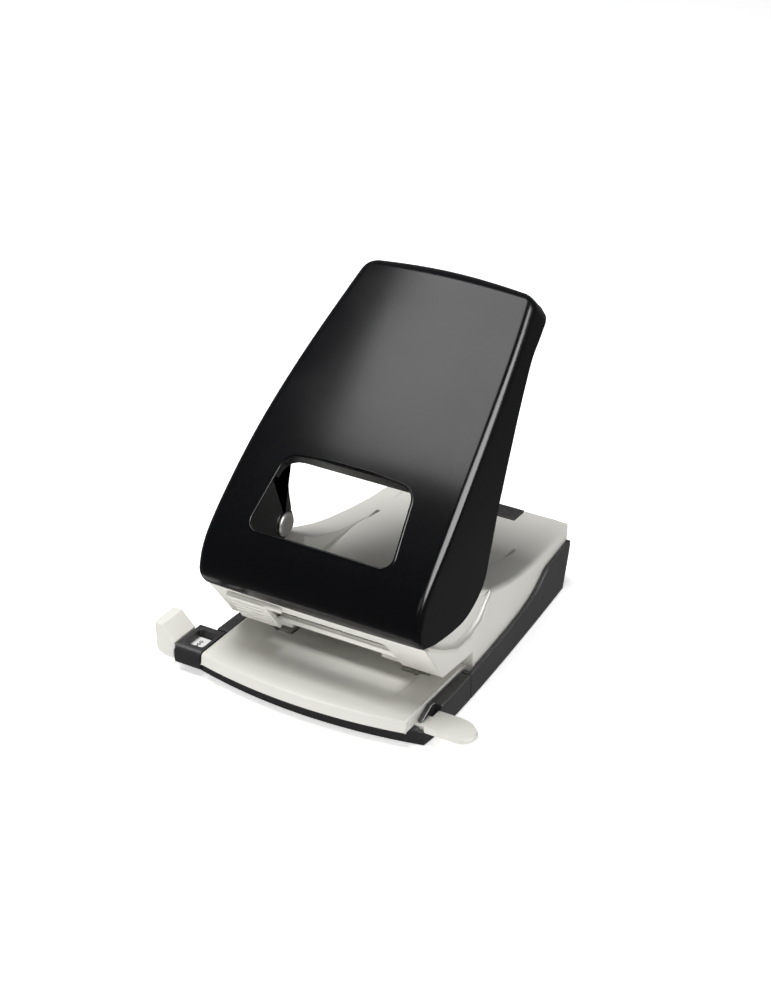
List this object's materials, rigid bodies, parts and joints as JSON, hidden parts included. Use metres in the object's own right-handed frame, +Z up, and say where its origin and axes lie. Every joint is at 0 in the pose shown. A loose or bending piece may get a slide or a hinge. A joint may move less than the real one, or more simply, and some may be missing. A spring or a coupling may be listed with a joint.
{
  "type": "hole punch",
  "caption": "Desktop hole punch with a glossy sloping lever and finger window, pale bridge and paper table, pull-out format guide, release key and fold-down chip tray.",
  "frame": {"origin": "on the surface the punch stands on, under the middle of the base: the middle of the chip tray's flat underside, 85 mm behind the front edge of the paper table", "axes": "+Z up, +Y from the paper table towards the rear, +X to the right of a user who faces the paper table"},
  "size_m": [0.18, 0.1905, 0.1802],
  "materials": {
    "gloss_cover": "deep gloss black",
    "light_grey_plastic": "satin, fine moulded texture, warm light grey",
    "black_plastic": "satin black, fine moulded texture",
    "black_steel": "black enamel on pressed steel",
    "bright_steel": "ground or zinc-plated steel",
    "stud_steel": "turned steel rivet heads",
    "spring_steel": "oiled spring wire and strip",
    "rubber": "matt black anti-slip rubber",
    "nylon": "natural nylon",
    "printed_label": null
  },
  "bodies": {
    "base": {"front_base": "black_plastic", "front_pad_left": "rubber", "front_pad_right": "rubber", "base_screw_left": "bright_steel", "base_screw_right": "bright_steel", "tray_hinge_pin_left": "bright_steel", "tray_hinge_pin_right": "bright_steel", "paper_table": "light_grey_plastic", "body_shell": "light_grey_plastic", "punch_frame": "bright_steel", "frame_screw_1": "bright_steel", "frame_screw_2": "bright_steel", "frame_screw_3": "bright_steel", "frame_screw_4": "bright_steel", "hinge_axle": "bright_steel", "axle_spacer_left": "nylon", "axle_spacer_right": "nylon", "axle_clip_left": "spring_steel", "axle_clip_right": "spring_steel", "guide_holder": "black_plastic", "guide_detent": "spring_steel", "die_left": "bright_steel", "die_right": "bright_steel", "punch_guide_left": "bright_steel", "punch_guide_right": "bright_steel"},
    "lever": {"handle_cover": "gloss_cover", "lever_frame": "black_steel", "press_bar": "bright_steel", "cover_screw_1": "bright_steel", "cover_screw_2": "bright_steel", "cover_screw_3": "bright_steel", "cover_screw_4": "bright_steel", "lever_stud_left": "stud_steel", "lever_stud_right": "stud_steel"},
    "punch_unit_left": {"punch_left": "bright_steel", "punch_spring_left": "spring_steel"},
    "punch_unit_right": {"punch_right": "bright_steel", "punch_spring_right": "spring_steel"},
    "tray": {"chip_tray": "black_plastic", "rear_tab": "black_plastic", "tray_pad_left": "rubber", "tray_pad_right": "rubber"},
    "guide": {"guide_bar": "light_grey_plastic", "format_label": "printed_label", "end_stop": "light_grey_plastic"},
    "key": {"release_key": "light_grey_plastic"},
    "lock": {"lock_slider": "light_grey_plastic"}
  },
  "joints": [
    {"name": "lever_hinge", "type": "hinge", "parent": "base", "child": "lever", "pos_m": [0, -0.066, 0.0525], "axis": [-1, 0, 0], "range_deg": [0, 25], "stiffness_Nm_per_rad": 2, "springref_deg": -20.05},
    {"name": "punch_left_slide", "type": "slide", "parent": "base", "child": "punch_unit_left", "axis": [0, 0, -1], "range_m": [0, 0.0128], "deforming": ["punch_spring_left"]},
    {"name": "punch_right_slide", "type": "slide", "parent": "base", "child": "punch_unit_right", "axis": [0, 0, -1], "range_m": [0, 0.0128], "deforming": ["punch_spring_right"]},
    {"name": "tray_hinge", "type": "hinge", "parent": "base", "child": "tray", "pos_m": [0, -0.054, 0.0042], "axis": [-1, 0, 0], "range_deg": [0, 40]},
    {"name": "format_guide_slide", "type": "slide", "parent": "base", "child": "guide", "axis": [-1, 0, 0], "range_m": [0, 0.062]},
    {"name": "release_key_press", "type": "slide", "parent": "base", "child": "key", "axis": [-1, 0, 0], "range_m": [0, 0.0025], "stiffness_N_per_m": 900, "springref_m": -0.001},
    {"name": "lock_slide", "type": "slide", "parent": "base", "child": "lock", "axis": [1, 0, 0], "range_m": [0, 0.012]}
  ],
  "couplings": [
    {"joint": "punch_left_slide", "follows": "lever_hinge", "m_per_rad": 0.0292},
    {"joint": "punch_right_slide", "follows": "lever_hinge", "m_per_rad": 0.0292}
  ]
}
